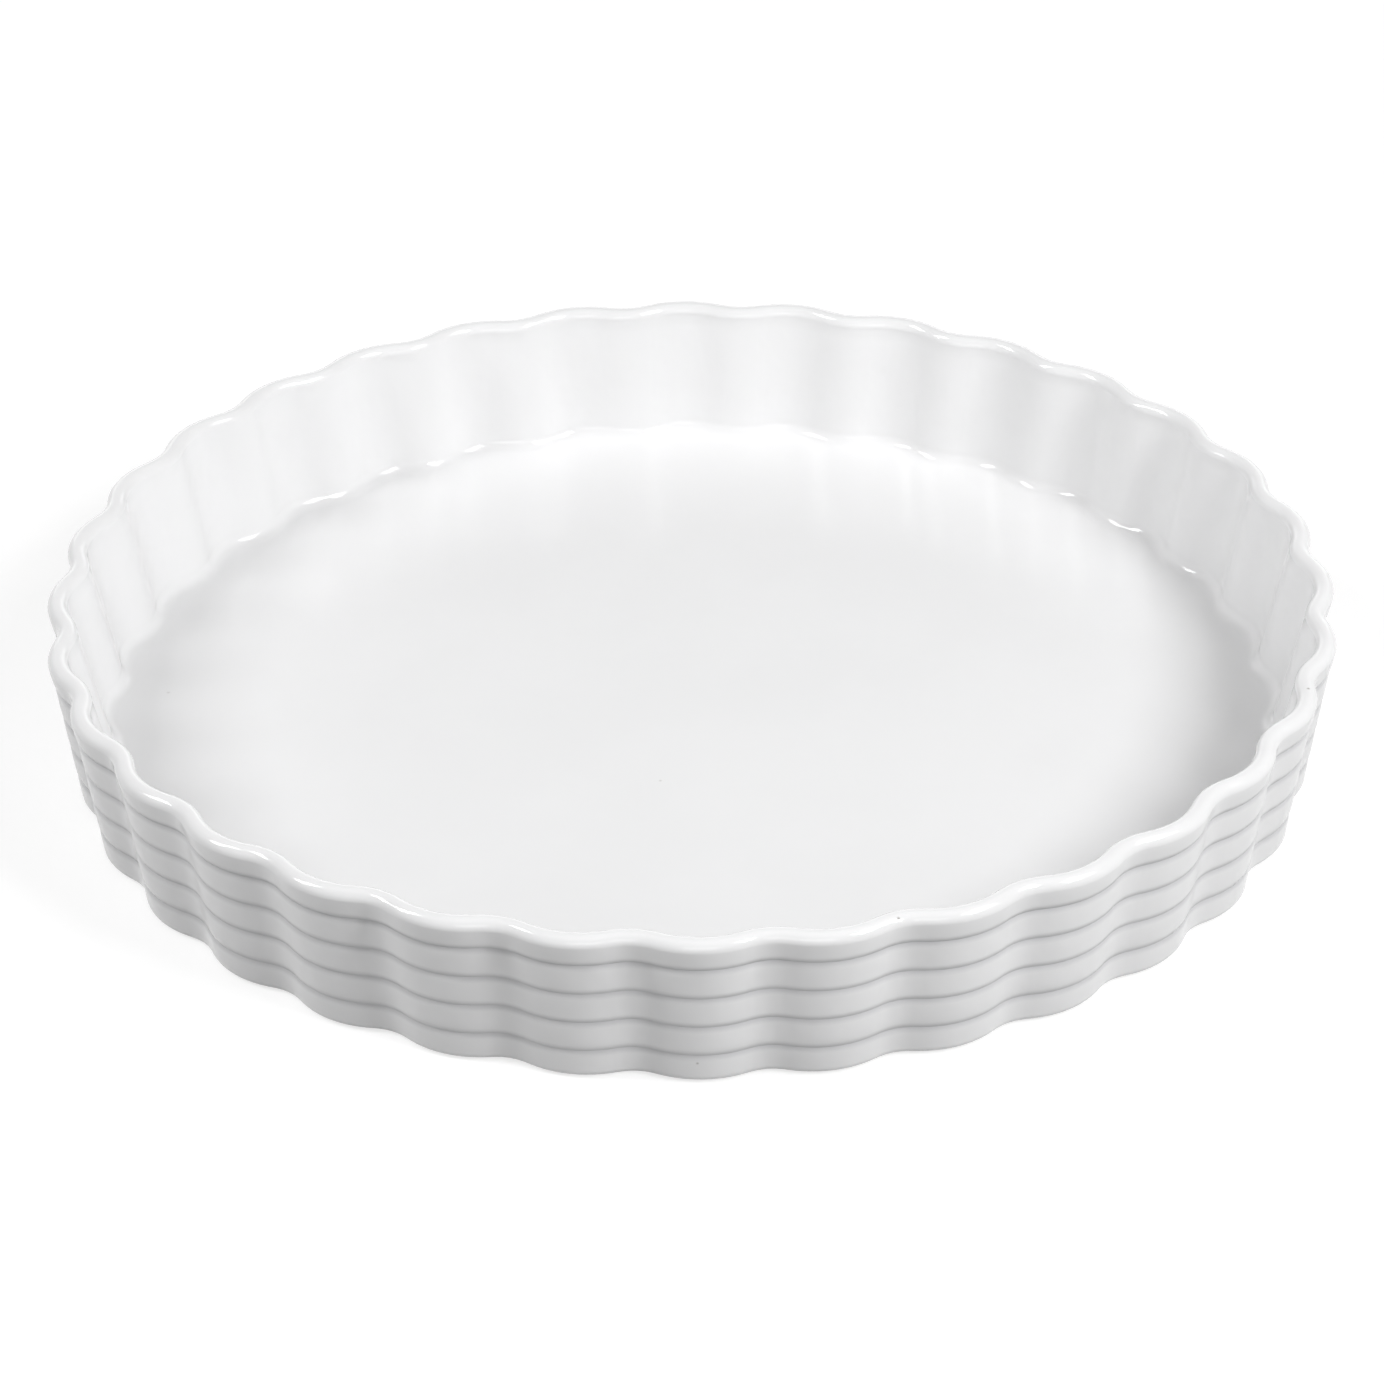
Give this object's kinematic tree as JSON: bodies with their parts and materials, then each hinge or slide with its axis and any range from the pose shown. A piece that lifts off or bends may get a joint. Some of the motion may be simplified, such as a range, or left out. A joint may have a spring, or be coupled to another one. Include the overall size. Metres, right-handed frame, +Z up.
{
  "type": "tart dish",
  "caption": "Round, shallow porcelain tart dish with a fluted wall, grooves ringing its outside, a rounded rim and a flat glazed floor for baking and serving.",
  "frame": {"origin": "centre of the foot ring, on the surface that the dish stands on", "axes": "+Z up along the dish's axis, -Y through the crest of one flute"},
  "size_m": [0.3, 0.3, 0.039],
  "materials": {
    "biscuit": "matt unglazed porcelain",
    "glaze": "glossy white glaze"
  },
  "bodies": {
    "root": {"porcelain_body": "biscuit", "glaze_coat": "glaze", "base_glaze": "glaze"}
  },
  "joints": []
}
